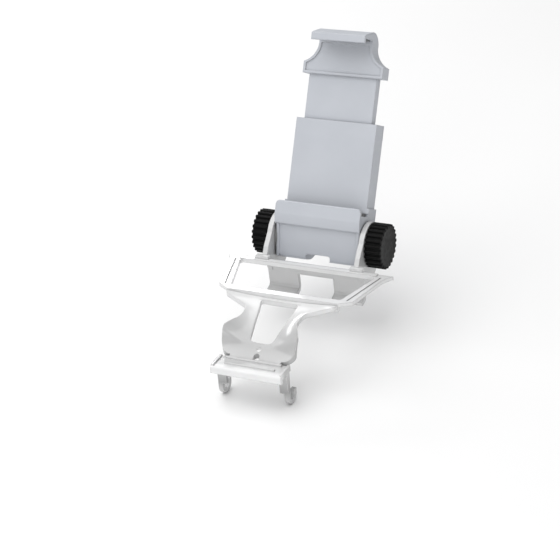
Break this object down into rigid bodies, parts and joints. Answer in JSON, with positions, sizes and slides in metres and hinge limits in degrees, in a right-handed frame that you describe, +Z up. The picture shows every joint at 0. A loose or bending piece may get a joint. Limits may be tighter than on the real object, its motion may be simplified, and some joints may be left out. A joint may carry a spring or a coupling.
{
  "type": "controller phone clip",
  "caption": "Phone holder that clips round a game controller: a clear bracket carries a tilting, spring-loaded phone cradle clamped by ribbed side knobs.",
  "frame": {"origin": "on the centre plane at the seat under the bracket's ring, in the middle of its opening", "axes": "+X to the right, +Y to the back away from the player, +Z up, square to the ring"},
  "size_m": [0.0744, 0.1229, 0.1159],
  "materials": {
    "clear_plastic": "milky clear, semi-gloss moulding",
    "cradle_plastic": "light grey, fine satin texture",
    "knob_plastic": "black, satin",
    "pad_rubber": "soft grey rubber",
    "steel": "plated steel",
    "spring_steel": "spring wire",
    "brass": "turned brass"
  },
  "bodies": {
    "bracket": {"bracket": "clear_plastic", "washer_left": "steel", "washer_right": "steel"},
    "cradle": {"cradle_body": "cradle_plastic", "rear_cover": "cradle_plastic", "lower_jaw_pad": "pad_rubber", "lower_spring_pins": "steel", "cover_screws": "steel", "spring_left": "spring_steel", "spring_right": "spring_steel", "insert_nut_left": "brass", "insert_nut_right": "brass", "friction_ring_left": "pad_rubber", "friction_ring_right": "pad_rubber"},
    "slider": {"slider": "cradle_plastic", "upper_jaw_pad": "pad_rubber", "upper_spring_pins": "steel"},
    "knob_left": {"knob_left": "knob_plastic", "clamp_bolt_left": "steel"},
    "knob_right": {"knob_right": "knob_plastic", "clamp_bolt_right": "steel"}
  },
  "joints": [
    {"name": "cradle_tilt", "type": "hinge", "parent": "bracket", "child": "cradle", "pos_m": [0, 0.0292, 0.0064], "axis": [1, 0, 0], "range_deg": [-60, 75]},
    {"name": "jaw_slide", "type": "slide", "parent": "cradle", "child": "slider", "axis": [0, 0.4493, 0.8934], "range_m": [-0.0185, 0.012], "stiffness_N_per_m": 150, "springref_m": -0.0185, "deforming": ["spring_left", "spring_right"]},
    {"name": "knob_left_turn", "type": "hinge", "parent": "bracket", "child": "knob_left", "pos_m": [-0.0257, 0.0292, 0.0064], "axis": [1, 0, 0], "continuous": true},
    {"name": "knob_right_turn", "type": "hinge", "parent": "bracket", "child": "knob_right", "pos_m": [0.0257, 0.0292, 0.0064], "axis": [1, 0, 0], "continuous": true}
  ]
}
